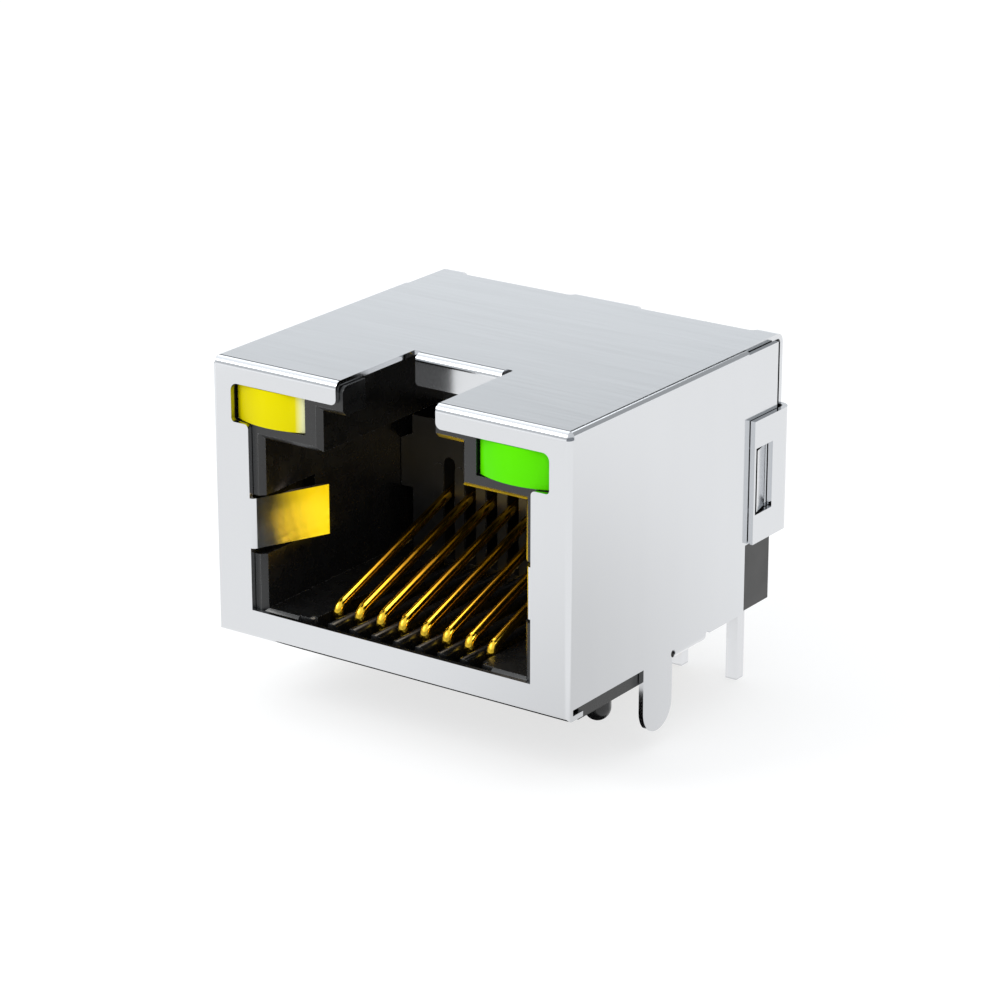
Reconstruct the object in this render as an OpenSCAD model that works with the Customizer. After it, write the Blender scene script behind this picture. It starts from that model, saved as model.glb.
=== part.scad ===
// Shielded eight-way modular board jack: side entry, latch side up, two indicator lamps.
// The origin lies midway between the two locating pegs, on the top face of the board.
// +X runs along the front face, +Y from the mouth to the rear, +Z up from the board.
// A depth is a distance behind the front face, and a height is a distance above the board.

/* [Shell] */
// Width over the two side panels
shell_w = 16.14; // [16:0.02:17.6]
// Height of the top panel's outer face
shell_h = 11.2; // [11.1:0.05:12.6]
// Depth of the rear panel's outer face
shell_d = 14.85; // [14.6:0.05:17]
// Thickness of the sheet that the shell is folded from
sheet_t = 0.2; // [0.16:0.01:0.24]
// Outside radius of the fold between the front and the top
brow_fold_r = 0.3; // [0.2:0.05:0.4]
// Outside radius of the tight folds along the sides
side_fold_r = 0.2; // [0.1:0.05:0.3]
// Length of the jack behind the folds between the top and the sides
rear_l = 2.85; // [2.75:0.05:3.4]
// Height of the side panels' lower edge
panel_z = 0.65; // [0.6:0.05:1]
// Clearance between the shell and the mouldings inside it
fit_gap = 0.03; // [0.02:0.01:0.06]

/* [Front face] */
// Width of the front face's strip beside the port opening
jamb_w = 1.67; // [1.5:0.01:1.8]
// Height of the port opening's lower edge
mouth_z = 1.38; // [1.2:0.02:1.48]
// Height of the lamp that each window in the sheet shows
window_h = 1.52; // [1:0.02:1.6]
// Radius of the lamp windows' outer corners
window_r = 0.3; // [0.1:0.05:0.5]
// Radius of the corners between the port opening and the lamp windows
step_r = 0.18; // [0.1:0.02:0.3]
// Size of the relief notches where three faces of the shell meet
corner_notch = 0.16; // [0.1:0.02:0.2]
// Width of the latch notch in the front and the top
notch_w = 4.5; // [4.3:0.05:5.2]
// Depth of the latch notch in the top panel
notch_d = 4.5; // [3.5:0.1:5.5]
// Radius of the latch notch's lower corners in the front face
notch_r = 0.24; // [0.1:0.02:0.4]
// Width of the flap that is folded down behind the notch
flap_w = 3.9; // [3.2:0.05:4.1]
// How far the flap hangs below the top panel's outer face
flap_h = 1.23; // [0.8:0.01:1.5]
// Radius of the flap's lower corners
flap_r = 0.15; // [0.1:0.05:0.4]
// Height of the folded-under flange's lower face
nose_z = 0.22; // [0.1:0.01:0.3]
// Outside radius of the fold under the front face
nose_fold_r = 0.25; // [0.25:0.01:0.35]
// Depth that the folded-under flange reaches
nose_d = 0.95; // [0.7:0.05:1.2]

/* [Grounding springs] */
// Height of the springs' lower edge
spring_z = 3.87; // [3.6:0.05:4.4]
// Height of each spring
spring_h = 2; // [1.4:0.1:2.4]
// Depth of the springs' free ends
spring_d = 3; // [2:0.1:3.2]
// Angle between a spring and the way in
spring_angle = 23.2; // [18:0.2:25]
// Inside radius of the springs' bends
spring_in_r = 0.03; // [0.02:0.01:0.06]
// Clearance between the springs and the housing
spring_gap = 0.1; // [0.08:0.01:0.14]
// Clearance below the springs
spring_under = 0.25; // [0.1:0.01:0.3]

/* [Rear folds] */
// Outside radius of the fold between the top and the rear
rear_fold_r = 0.4; // [0.3:0.05:0.6]
// Height of the rear panel's lower edge
skirt_z = 0.95; // [0.9:0.05:2]
// Width of the rear panel below its latches
skirt_w = 14.2; // [12:0.1:15]
// Gap between the side panels' rear edges and the rear panel
rear_gap = 0.53; // [0.4:0.01:0.8]
// Gap between the rear part of the top panel and the side panels beside it
rear_side_gap = 0.05; // [0.03:0.01:0.08]
// How far the side panels' rear top edges lie below the top panel's outer face
side_drop = 0.18; // [0.1:0.01:0.3]
// Height of the cut-back at the foot of each side panel
heel_z = 3.42; // [3:0.02:3.42]
// Height of the rear latches' lower edge
latch_z = 3.44; // [3.44:0.02:4]
// Height of each rear latch
latch_h = 4.94; // [4:0.1:6]
// Length of a rear latch in front of the rear panel's outer face
latch_l = 2.68; // [2.6:0.02:2.75]
// Outside radius of the rear latches' fold
latch_fold_r = 0.45; // [0.35:0.05:0.5]
// Gap between a rear latch and the side panel that it laps
latch_gap = 0.03; // [0.02:0.01:0.05]
// Width of the bar in front of the latch window
catch_bar = 0.12; // [0.1:0.01:0.2]
// Width of the latch window along the depth
catch_w = 1.21; // [1.1:0.01:1.4]
// Height of the latch window above the latch's lower edge
catch_rise = 1.17; // [0.8:0.01:1.4]
// Height of the latch window
catch_h = 2.67; // [2:0.01:3]
// Length of the latch window that the lance leaves free
catch_play = 0.16; // [0.1:0.01:0.4]
// Clearance around the lance in the latch window
lance_gap = 0.1; // [0.06:0.01:0.12]
// Width of the two relief slots in the rear fold
relief_w = 5.45; // [4:0.05:5.8]
// Width of the bridge left between the relief slots
bridge_w = 2.9; // [2:0.1:4]
// Radius of the relief slots' front corners
relief_r = 0.3; // [0.1:0.05:0.4]
// How far the relief slots reach beyond the fold on both panels
relief_out = 0.16; // [0.1:0.02:0.4]

/* [Board fixings] */
// Spacing of the two locating pegs
peg_spacing = 12.7; // [12.3:0.1:13.4]
// Depth of the locating pegs
peg_d = 4.5; // [2:0.05:5.5]
// Diameter of a locating peg
peg_dia = 1.05; // [0.8:0.05:1.6]
// Length of a locating peg below the board's top face
peg_l = 1.57; // [1.2:0.01:2.4]
// Depth of the shell legs' front edge
leg_d = 4.96; // [3:0.02:4.96]
// Width of a shell leg
leg_w = 1.96; // [1.2:0.02:1.96]
// Length of a shell leg below the board's top face
leg_l = 2.08; // [1.6:0.02:3.2]
// Depth at which the turned-in toes start
toe_d = 7.14; // [7.14:0.02:7.6]
// Length of a turned-in toe along the depth
toe_l = 2.14; // [1.2:0.02:2.6]
// How far a toe reaches in below the housing
toe_reach = 1.3; // [0.8:0.05:2]
// Height of a toe's lower face
toe_z = 0.35; // [0.32:0.01:0.42]
// Outside radius of a toe's fold
toe_fold_r = 0.3; // [0.2:0.02:0.34]
// Radius of a toe's inner corners
toe_r = 0.3; // [0.1:0.05:0.5]
// Radius of the relief holes at the ends of a toe's fold
toe_relief_r = 0.15; // [0.1:0.01:0.18]

/* [Housing] */
// Depth of the housing's rear face
body_d = 11.4; // [11:0.1:11.6]
// Depth that the front foot reaches along the board
foot_d = 6.9; // [6:0.1:6.95]
// Width of the keel behind the front foot
keel_w = 10; // [8:0.1:11]
// Depth of the keel's rear end
keel_d = 9.2; // [9.1:0.05:9.3]
// Distance of the port's side walls from the side panels' outer faces
port_in = 2.14; // [2.02:0.01:2.22]
// Height of the port's floor
port_z = 1.43; // [1.4:0.01:1.6]
// Height of the port from its floor to its ceiling
port_h = 6.8; // [6.6:0.01:6.9]
// Size of the bevel around the port's mouth
bevel = 0.2; // [0.1:0.01:0.22]
// Width of the latch channel
channel_w = 6.34; // [6.2:0.02:6.6]
// Depth of the latch channel's rear end
channel_d = 8; // [6:0.1:8.4]
// Gap between the two horns that hold the plug's latch
horn_gap = 4.2; // [3.8:0.05:4.3]
// Height of the horns' lower face above the port's ceiling
horn_rise = 1.61; // [1.4:0.01:1.7]
// Depth of the horns' rear face
horn_d = 1.6; // [1.2:0.05:2]
// Radius of the horns' upper front edge
horn_r = 0.3; // [0.1:0.05:0.5]
// Thickness of the shelf between the port and a lamp
shelf_t = 0.54; // [0.45:0.01:0.6]
// Depth at which the floor's ribs between the wires start
rib_d = 0.48; // [0.48:0.02:1]
// Half width of the recess in front of the ribs
rib_front_x = 4.46; // [4.3:0.02:4.8]

/* [Contact carrier] */
// Depth of the comb plate's front face
comb_d = 8.87; // [8.8:0.01:9]
// Width of the ears beside the comb plate
ear_w = 0.59; // [0.4:0.01:0.8]
// Height of the comb plate's top
comb_z = 7; // [6.6:0.05:7.8]
// Height of the rounded tops of the slots in the plate
comb_slot_z = 5.57; // [5.3:0.01:5.9]
// Depth of the slots in the comb plate
comb_slot_l = 1.1; // [0.9:0.05:1.6]
// How far the comb's ribs stand out from the plate
comb_rib_out = 0.06; // [0.04:0.02:0.4]
// Height of the comb ribs' rounded tops
comb_rib_z = 5.25; // [4.8:0.05:5.6]
// Height of the side ears' lower face
ear_z = 3.97; // [3:0.01:4.5]
// Height of an ear at its outer end
ear_h = 1.99; // [1.5:0.01:2.4]
// How far the carrier's rear block stays below the lamp leads' axes
block_drop = 0.62; // [0.4:0.02:1]
// Gap between the carrier's rear block and the rear panel
block_gap = 0.48; // [0.4:0.02:0.6]
// Diameter of the standoffs under the carrier
standoff_dia = 1.2; // [0.8:0.1:1.6]
// Spacing of the standoffs under the carrier
standoff_spacing = 4.6; // [4:0.1:5]
// Distance of the standoffs in front of the carrier's rear face
standoff_in = 0.8; // [0.7:0.05:1]

/* [Contacts] */
// Number of contacts
contact_count = 8; // [8]
// Spacing of the contacts
contact_pitch = 1.016; // [1:0.002:1.03]
// Diameter of the contact wire
wire_dia = 0.4; // [0.34:0.01:0.46]
// Height of the wires' axes where they run along the floor
run_z = 0.94; // [0.92:0.01:1]
// Depth of the foremost point of the contacts
nose_tip_d = 1.45; // [1.25:0.05:1.6]
// Bend radius of the contacts' hairpins, on the wire's axis
hairpin_r = 0.4; // [0.3:0.01:0.45]
// Slope of the contact arms
arm_angle = 19; // [16:0.2:19.4]
// Depth of the contact arms' free ends
arm_d = 9.6; // [9.2:0.05:9.7]
// Depth of the front row of tails
front_row_d = 9.58; // [9.58:0.01:9.7]
// Depth of the rear row of tails
rear_row_d = 12.12; // [11.8:0.01:12.4]
// Bend radius of the tails, on the wire's axis
tail_bend_r = 0.3; // [0.25:0.01:0.35]
// Length of the tails below the board's top face
tail_l = 2.78; // [2:0.02:3.6]
// Clearance beside a wire in its slot
wire_gap = 0.07; // [0.03:0.01:0.08]

/* [Lamps] */
// Distance of each lamp's middle from the side panel's outer face
lamp_in = 2.52; // [2.46:0.01:2.62]
// Width of a lamp
lamp_w = 3.22; // [3:0.01:3.3]
// Height of a lamp
lamp_h = 1.75; // [1.7:0.01:1.8]
// Length of a lamp from crown to back
lamp_l = 5.6; // [4:0.1:7]
// How far the middle of the lens stands out from its edges
lens_bulge = 0.38; // [0.3:0.01:0.5]
// Depth of the lens's foremost point
crown_d = 0; // [-0.02:0.01:0.1]
// Clearance around a lamp in its pocket
lamp_gap = 0.07; // [0.03:0.01:0.08]
// Thickness of the square lamp leads
lead_t = 0.5; // [0.4:0.01:0.55]
// Spacing of a lamp's two leads
lead_pitch = 2.54; // [2:0.02:2.54]
// Distance of the lamp leads' tails in front of the carrier's rear face
lead_in = 0.67; // [0.6:0.01:0.75]
// Height of the leads' axes above the shelf that the lamps stand on
lead_rise = 0.95; // [0.85:0.01:1.05]
// Outside bend radius of the lamp leads
lead_bend_r = 0.7; // [0.55:0.05:0.8]
// Clearance around a lead or a wire in the mouldings
lead_gap = 0.03; // [0.02:0.01:0.05]

/* [Hidden] */
$fn = 48;

sheet_color = [0.84, 0.85, 0.87];
resin_color = [0.13, 0.14, 0.15];
carrier_color = [0.2, 0.21, 0.22];
gold_color = [0.93, 0.68, 0.12];
tin_color = [0.8, 0.81, 0.83];
yellow_color = [0.9, 0.87, 0];
green_color = [0.37, 0.91, 0];

// How far cuts overrun the face that they break through
over = 1;
// How far pieces of one solid reach into each other
lap = 0.1;
side_x = shell_w / 2;
side_in_x = side_x - sheet_t;
top_in_z = shell_h - sheet_t;
rear_in_d = shell_d - sheet_t;

// Front face
mouth_x = side_x - jamb_w;
lamp_x = side_x - lamp_in;
lamp_z = port_z + port_h + shelf_t;
brow_z = lamp_z + window_h;
lead_z = lamp_z + lead_rise;
pocket_x0 = lamp_x - lamp_w / 2 - lamp_gap;
pocket_x1 = lamp_x + lamp_w / 2 + lamp_gap;
window_x = lamp_x + lamp_w / 2 + fit_gap;

// Springs
spring_out_r = spring_in_r + sheet_t;

// Rear folds
latch_in_x = side_x + latch_gap;
latch_out_x = latch_in_x + sheet_t;
side_end_d = rear_in_d - rear_gap;
side_fold_d = shell_d - rear_l;
latch_d = shell_d - latch_l;
catch_d = latch_d + catch_bar;
catch_z = latch_z + catch_rise;
lance_d = catch_d + lance_gap;
lance_l = catch_w - lance_gap - catch_play;
lance_z = catch_z + lance_gap;
lance_h = catch_h - 2 * lance_gap;

// Housing
body_x = side_in_x - fit_gap;
body_front = sheet_t + fit_gap;
body_z = top_in_z - fit_gap;
under_z = toe_z + sheet_t + fit_gap;
port_x = side_x - port_in;
comb_x = port_x - ear_w;
ceiling_z = port_z + port_h;
horn_z = ceiling_z + horn_rise;
pocket_z = lamp_z + lamp_h + lamp_gap;
pocket_d = crown_d + lamp_l + lamp_gap;

// Contacts
wire_r = wire_dia / 2;
field_x = contact_count * contact_pitch / 2;
wire_slot_w = wire_dia + 2 * wire_gap;
slot_floor_z = run_z - wire_r - lead_gap;
rib_w = contact_pitch - wire_slot_w;
hairpin_d = nose_tip_d + wire_r + hairpin_r;
hairpin_z = run_z + hairpin_r;
comb_rib_w = rib_w - lead_gap;
carrier_z = under_z + lead_gap;
block_d = rear_in_d - block_gap;
block_z = lead_z - block_drop;
standoff_d = block_d - standoff_in;
lead_row_d = block_d - lead_in;

// Y of a point that lies a given depth behind the front face
function back(depth) = depth - peg_d;

// X of contact number i, counted from one
function contact_x(i) = (i - (contact_count + 1) / 2) * contact_pitch;

// Depth of the tail of contact number i: odd ones stand in the front row
function tail_d(i) = i % 2 == 1 ? front_row_d : rear_row_d;

// A block between two widths, two depths and two heights
module block(x, depths, z) {
    translate([x[0], back(depths[0]), z[0]])
        cube([x[1] - x[0], depths[1] - depths[0], z[1] - z[0]]);
}

// The same shape on the right and on the left
module both_sides() {
    children();
    mirror([1, 0, 0])
        children();
}

// An outline in X and Z, swept between two depths
module along_depth(depths) {
    translate([0, back(depths[1]), 0])
        rotate([90, 0, 0])
            linear_extrude(depths[1] - depths[0])
                children();
}

// An outline in Y and Z, swept between two widths
module along_width(x) {
    translate([x[0], 0, 0])
        rotate([90, 0, 90])
            linear_extrude(x[1] - x[0])
                children();
}

// An outline in X and Y, swept between two heights
module along_height(z) {
    translate([0, 0, z[0]])
        linear_extrude(z[1] - z[0])
            children();
}

// A rectangle between two corners
module area(low, high) {
    translate(low)
        square([high[0] - low[0], high[1] - low[1]]);
}

// What a circle of radius r leaves over in a corner at p that opens towards dir
module corner(p, dir, r) {
    if (r > 0)
        translate(p)
            scale([dir[0], dir[1], 1])
                difference() {
                    translate([-lap, -lap])
                        square(r + lap);
                    translate([r, r])
                        circle(r = r);
                }
}

// The solid that the front, the top and the sides wrap, shrunk by inset on every face
module sleeve_form(inset, end_d) {
    x1 = side_x - inset;
    z0 = nose_z + inset;
    z1 = shell_h - inset;
    y0 = back(inset);
    y1 = back(end_d);
    side_r = max(side_fold_r - inset, 0);
    brow_r = max(brow_fold_r - inset, 0);
    nose_r = max(nose_fold_r - inset, 0);
    intersection() {
        along_depth([inset, end_d])
            difference() {
                area([-x1, z0], [x1, z1]);
                corner([x1, z1], [-1, -1], side_r);
                corner([-x1, z1], [1, -1], side_r);
            }
        along_width([-x1 - over, x1 + over])
            difference() {
                area([y0, z0], [y1, z1]);
                corner([y0, z1], [1, -1], brow_r);
                corner([y0, z0], [1, 1], nose_r);
            }
        along_height([z0 - over, z1 + over])
            difference() {
                area([-x1, y0], [x1, y1]);
                corner([x1, y0], [-1, 1], side_r);
                corner([-x1, y0], [1, 1], side_r);
            }
    }
}

// Outline of the port, the lamp windows and the latch notch in the front face
module mouth_outline() {
    difference() {
        union() {
            area([-mouth_x, mouth_z], [mouth_x, lamp_z + lap]);
            area([-window_x, lamp_z], [window_x, brow_z]);
            area([-notch_w / 2, brow_z - lap], [notch_w / 2, shell_h + over]);
        }
        corner([window_x, brow_z], [-1, -1], window_r);
        corner([-window_x, brow_z], [1, -1], window_r);
        corner([window_x, lamp_z], [-1, 1], window_r / 2);
        corner([-window_x, lamp_z], [1, 1], window_r / 2);
    }
    corner([notch_w / 2, brow_z], [1, 1], notch_r);
    corner([-notch_w / 2, brow_z], [-1, 1], notch_r);
    corner([mouth_x, lamp_z], [1, -1], step_r);
    corner([-mouth_x, lamp_z], [-1, -1], step_r);
}

// The front, the top and the side panels in front of the rear folds
module sleeve() {
    difference() {
        sleeve_form(0, side_fold_d);
        sleeve_form(sheet_t, side_fold_d + over);
        block([-side_x - over, side_x + over], [nose_d, side_fold_d + over], [nose_z - over, panel_z]);
        both_sides()
            block([side_in_x - lap, side_x + over], [side_fold_r + lap, nose_d + lap],
                [nose_z + sheet_t, panel_z]);
        along_depth([-over, sheet_t + lap])
            mouth_outline();
        block([-notch_w / 2, notch_w / 2], [-over, notch_d], [top_in_z - lap - brow_fold_r, shell_h + over]);
        both_sides()
            block([flap_w / 2, notch_w / 2], [notch_d - lap, notch_d + brow_fold_r + lap],
                [top_in_z - lap, shell_h + over]);
        block([-flap_w / 2, flap_w / 2], [notch_d - lap, notch_d + brow_fold_r],
            [top_in_z - lap, shell_h + over]);
        both_sides()
            block([side_x - corner_notch, side_x + over], [-over, corner_notch + lap],
                [shell_h - brow_fold_r, shell_h + over]);
    }
}

// The flap behind the latch notch, folded down from the top panel
module notch_flap() {
    y0 = back(notch_d);
    z0 = shell_h - flap_h;
    in_r = max(brow_fold_r - sheet_t, 0);
    intersection() {
        along_width([-flap_w / 2, flap_w / 2])
            union() {
                difference() {
                    area([y0, z0], [back(notch_d + brow_fold_r), shell_h]);
                    area([back(notch_d + sheet_t), z0 - lap], [back(notch_d + brow_fold_r) + lap, top_in_z]);
                    corner([y0, shell_h], [1, -1], brow_fold_r);
                }
                intersection() {
                    corner([back(notch_d + sheet_t), top_in_z], [1, -1], in_r);
                    area([y0, z0], [back(notch_d + brow_fold_r), shell_h - sheet_t / 2]);
                }
            }
        along_depth([notch_d - lap, notch_d + brow_fold_r + lap])
            difference() {
                area([-flap_w / 2, z0], [flap_w / 2, shell_h]);
                corner([flap_w / 2, z0], [-1, 1], flap_r);
                corner([-flap_w / 2, z0], [1, 1], flap_r);
            }
    }
}

// One grounding spring, bent in from the edge of the port opening
module ground_spring() {
    turn = 90 - spring_angle;
    last = 270 - turn;
    out_x = spring_out_r * cos(last);
    out_y = spring_out_r * sin(last);
    in_x = spring_in_r * cos(last);
    in_y = spring_in_r * sin(last);
    length = (spring_d - spring_out_r - out_y) / cos(spring_angle);
    dx = -length * sin(spring_angle);
    dy = length * cos(spring_angle);
    along_height([spring_z, spring_z + spring_h])
        translate([mouth_x, back(spring_out_r)]) {
            intersection() {
                difference() {
                    circle(r = spring_out_r);
                    circle(r = spring_in_r);
                }
                polygon([[0, 0], [0, -over], [-over, -over], [over * cos(last), over * sin(last)]]);
            }
            polygon([[in_x, in_y], [out_x, out_y], [out_x + dx, out_y + dy], [in_x + dx, in_y + dy]]);
            area([0, -spring_out_r], [lap, -spring_in_r]);
        }
}

// The rear part of the top panel and the rear panel folded down from it
module rear_flap() {
    y0 = back(side_fold_d);
    y1 = back(shell_d);
    y_in = back(rear_in_d);
    in_r = max(rear_fold_r - sheet_t, 0);
    slot_front = shell_d - rear_fold_r - relief_out;
    difference() {
        along_width([rear_side_gap - side_in_x, side_in_x - rear_side_gap])
            difference() {
                area([y0 - lap, skirt_z], [y1, shell_h]);
                difference() {
                    area([y0 - over, skirt_z - over], [y_in, top_in_z]);
                    corner([y_in, top_in_z], [-1, -1], in_r);
                }
                corner([y1, shell_h], [-1, -1], rear_fold_r);
            }
        both_sides()
            block([skirt_w / 2, side_x + over], [rear_in_d - lap, shell_d + over], [skirt_z - over, latch_z]);
        both_sides()
            along_height([shell_h - rear_fold_r - relief_out, shell_h + over])
                difference() {
                    area([bridge_w / 2, back(slot_front)], [bridge_w / 2 + relief_w, y1 + over]);
                    corner([bridge_w / 2, back(slot_front)], [1, 1], relief_r);
                    corner([bridge_w / 2 + relief_w, back(slot_front)], [-1, 1], relief_r);
                }
    }
}

// One rear latch: it leaves the rear panel, folds round the side panel and has a catch window
module rear_latch() {
    y1 = back(shell_d);
    in_r = max(latch_fold_r - sheet_t, 0);
    difference() {
        along_height([latch_z, latch_z + latch_h])
            difference() {
                area([side_in_x - over, back(latch_d)], [latch_out_x, y1]);
                difference() {
                    area([side_in_x - 2 * over, back(latch_d) - over], [latch_in_x, back(rear_in_d)]);
                    corner([latch_in_x, back(rear_in_d)], [-1, -1], in_r);
                }
                corner([latch_out_x, y1], [-1, -1], latch_fold_r);
            }
        block([side_x - over, latch_out_x + over], [catch_d, catch_d + catch_w],
            [catch_z, catch_z + catch_h]);
    }
}

// The rear part of a side panel. Its lance is hinged at the rear and snaps into the latch window
module side_rear() {
    lance_out = latch_out_x - side_x;
    difference() {
        block([side_in_x, side_x], [side_fold_d - lap, side_end_d], [panel_z, shell_h - side_drop]);
        block([side_in_x - over, side_x + over], [side_fold_d, side_end_d + over], [panel_z - over, heel_z]);
        block([side_in_x - over, side_x + over], [lance_d - lance_gap, lance_d + lance_l],
            [catch_z, catch_z + catch_h]);
    }
    along_height([lance_z, lance_z + lance_h])
        polygon([
            [side_in_x + lance_out, back(lance_d)],
            [side_x + lance_out, back(lance_d)],
            [side_x, back(lance_d + lance_l)],
            [side_x, back(lance_d + lance_l + lap)],
            [side_in_x, back(lance_d + lance_l + lap)],
            [side_in_x, back(lance_d + lance_l)]
        ]);
}

// One shell leg, cut straight down from the side panel, with a round tip
module shell_leg() {
    along_width([side_in_x, side_x]) {
        area([back(leg_d), leg_w / 2 - leg_l], [back(leg_d + leg_w), panel_z + lap]);
        translate([back(leg_d + leg_w / 2), leg_w / 2 - leg_l])
            circle(d = leg_w);
    }
}

// One toe, folded in from the side panel under the housing
module shell_toe() {
    in_r = max(toe_fold_r - sheet_t, 0);
    intersection() {
        along_depth([toe_d, toe_d + toe_l])
            difference() {
                area([side_x - toe_reach, toe_z], [side_x, toe_z + toe_fold_r + lap]);
                difference() {
                    area([side_x - toe_reach - over, toe_z + sheet_t], [side_in_x, panel_z + over]);
                    corner([side_in_x, toe_z + sheet_t], [-1, 1], in_r);
                }
                corner([side_x, toe_z], [-1, 1], toe_fold_r);
            }
        along_height([toe_z - over, panel_z + over])
            difference() {
                area([side_x - toe_reach, back(toe_d)], [side_x, back(toe_d + toe_l)]);
                corner([side_x - toe_reach, back(toe_d)], [1, 1], toe_r);
                corner([side_x - toe_reach, back(toe_d + toe_l)], [1, -1], toe_r);
            }
    }
}

// Round relief holes at both ends of a toe's fold
module toe_reliefs() {
    for (depth = [toe_d - toe_relief_r, toe_d + toe_l + toe_relief_r])
        translate([side_in_x - over, back(depth), panel_z])
            rotate([0, 90, 0])
                cylinder(r = toe_relief_r, h = sheet_t + 2 * over);
}

module shield() {
    color(sheet_color)
        difference() {
            union() {
                sleeve();
                notch_flap();
                rear_flap();
                both_sides() {
                    ground_spring();
                    side_rear();
                    rear_latch();
                    shell_leg();
                    shell_toe();
                }
            }
            both_sides()
                toe_reliefs();
        }
}

// A locating peg with a round end, standing down from the board plane
module peg() {
    r = peg_dia / 2;
    rotate([180, 0, 0])
        translate([0, 0, -lap])
            rotate_extrude() {
                square([r, peg_l - r + lap]);
                translate([0, peg_l - r + lap])
                    intersection() {
                        circle(r = r);
                        square(r);
                    }
            }
}

// The bevel round a rectangular mouth in the front face of the housing: two wedges that cross
module mouth_bevel(low, high) {
    wide = bevel + lap;
    y0 = back(body_front) - lap;
    y1 = back(body_front) + bevel;
    intersection() {
        along_width([low[0] - wide, high[0] + wide])
            polygon([[y0, low[1] - wide], [y1, low[1]], [y1, high[1]], [y0, high[1] + wide]]);
        along_height([low[1] - wide, high[1] + wide])
            polygon([[low[0] - wide, y0], [high[0] + wide, y0], [high[0], y1], [low[0], y1]]);
    }
}

// The block, the foot, the keel and the pegs before anything is cut out of them
module housing_form() {
    edge_r = max(toe_fold_r - sheet_t - fit_gap, 0);
    difference() {
        intersection() {
            sleeve_form(body_front, body_d);
            along_depth([0, body_d + over])
                difference() {
                    area([-side_x, under_z], [side_x, shell_h]);
                    corner([body_x, under_z], [-1, 1], edge_r);
                    corner([-body_x, under_z], [1, 1], edge_r);
                }
        }
        along_width([-body_x - over, body_x + over])
            corner([back(body_front), body_z], [1, -1], horn_r);
    }
    intersection() {
        sleeve_form(body_front, nose_d + lap);
        block([-body_x + 2 * sheet_t, body_x - 2 * sheet_t], [0, nose_d + lap], [nose_z, under_z + lap]);
    }
    block([-body_x, body_x], [nose_d + fit_gap, foot_d], [0, under_z + lap]);
    block([-keel_w / 2, keel_w / 2], [foot_d - lap, keel_d], [0, under_z]);
    block([-keel_w / 2, keel_w / 2], [foot_d - lap, comb_d - fit_gap], [under_z - lap, under_z + lap]);
    both_sides()
        translate([peg_spacing / 2, 0, 0])
            peg();
}

// The port, the latch channel between its horns, and the bevels around them
module port_cut() {
    channel_x = channel_w / 2;
    block([-port_x, port_x], [-over, comb_d - fit_gap], [port_z, ceiling_z]);
    block([-port_x, port_x], [comb_d - fit_gap - lap, body_d + over], [port_z, ceiling_z]);
    block([-comb_x - lead_gap, comb_x + lead_gap], [comb_d - fit_gap, body_d + over],
        [under_z, port_z + lap]);
    block([-channel_x, channel_x], [-over, channel_d], [ceiling_z - lap, horn_z]);
    block([-channel_x, channel_x], [horn_d, channel_d], [horn_z - lap, shell_h + over]);
    block([-horn_gap / 2, horn_gap / 2], [-over, horn_d + lap], [horn_z - lap, shell_h + over]);
    mouth_bevel([-port_x, port_z], [port_x, ceiling_z]);
    mouth_bevel([-channel_x, ceiling_z - over], [channel_x, horn_z]);
}

// Pockets for a lamp, its two leads and a grounding spring, on the right
module side_pockets() {
    block([pocket_x0, pocket_x1], [-over, pocket_d], [lamp_z, pocket_z]);
    for (x = [lamp_x - lead_pitch / 2, lamp_x + lead_pitch / 2])
        block([x - lead_t / 2 - lead_gap, x + lead_t / 2 + lead_gap], [pocket_d - lap, body_d + over],
            [lead_z - lead_t / 2 - lead_gap, lead_z + lead_t / 2 + lead_gap]);
    block([port_x - lap, mouth_x + spring_gap], [-over, spring_d + 4 * spring_gap],
        [spring_z - spring_under, spring_z + spring_h + spring_gap]);
}

// One of the ribs between the wires, with a round back and a round front end
module floor_rib(x) {
    r = rib_w / 2;
    intersection() {
        along_depth([rib_d, comb_d - fit_gap])
            translate([x, 0]) {
                area([-r, slot_floor_z - lap], [r, port_z - r]);
                translate([0, port_z - r])
                    circle(r = r);
            }
        along_height([slot_floor_z - lap, port_z + lap])
            translate([x, back(rib_d + r)]) {
                circle(r = r);
                area([-r, 0], [r, comb_d]);
            }
    }
}

module housing() {
    wire_field = field_x - rib_w / 2;
    color(resin_color) {
        difference() {
            housing_form();
            port_cut();
            both_sides()
                side_pockets();
            block([-rib_front_x, rib_front_x], [-over, rib_d + rib_w / 2], [slot_floor_z, port_z + lap]);
            block([-wire_field, wire_field], [rib_d, comb_d], [slot_floor_z, port_z + lap]);
        }
        for (i = [0 : contact_count])
            floor_rib(contact_x(i) + contact_pitch / 2);
        both_sides()
            block([field_x, rib_front_x + lap], [rib_d, rib_d + rib_w / 2 + lap],
                [slot_floor_z - lap, port_z]);
    }
}

// Outline of the comb plate with its two side ears
module comb_outline() {
    ear_x = port_x - lead_gap;
    slope = (port_x - comb_x) / 2;
    area([-comb_x, carrier_z], [comb_x, comb_z]);
    both_sides()
        polygon([
            [comb_x - lap, ear_z],
            [ear_x, ear_z],
            [ear_x, ear_z + ear_h],
            [comb_x - lap, ear_z + ear_h + slope]
        ]);
}

// A slot with a round top in the comb plate, for the free end of a contact
module comb_slot(x) {
    r = wire_slot_w / 2;
    along_depth([comb_d - over, comb_d + comb_slot_l])
        translate([x, 0]) {
            area([-r, run_z + wire_dia], [r, comb_slot_z - r]);
            translate([0, comb_slot_z - r])
                circle(r = r);
        }
}

// A rib with a round top that stands out between two comb slots
module comb_rib(x) {
    r = comb_rib_w / 2;
    along_depth([comb_d - comb_rib_out, comb_d + lap])
        translate([x, 0]) {
            area([-r, port_z + lead_gap], [r, comb_rib_z - r]);
            translate([0, comb_rib_z - r])
                circle(r = r);
        }
}

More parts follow.
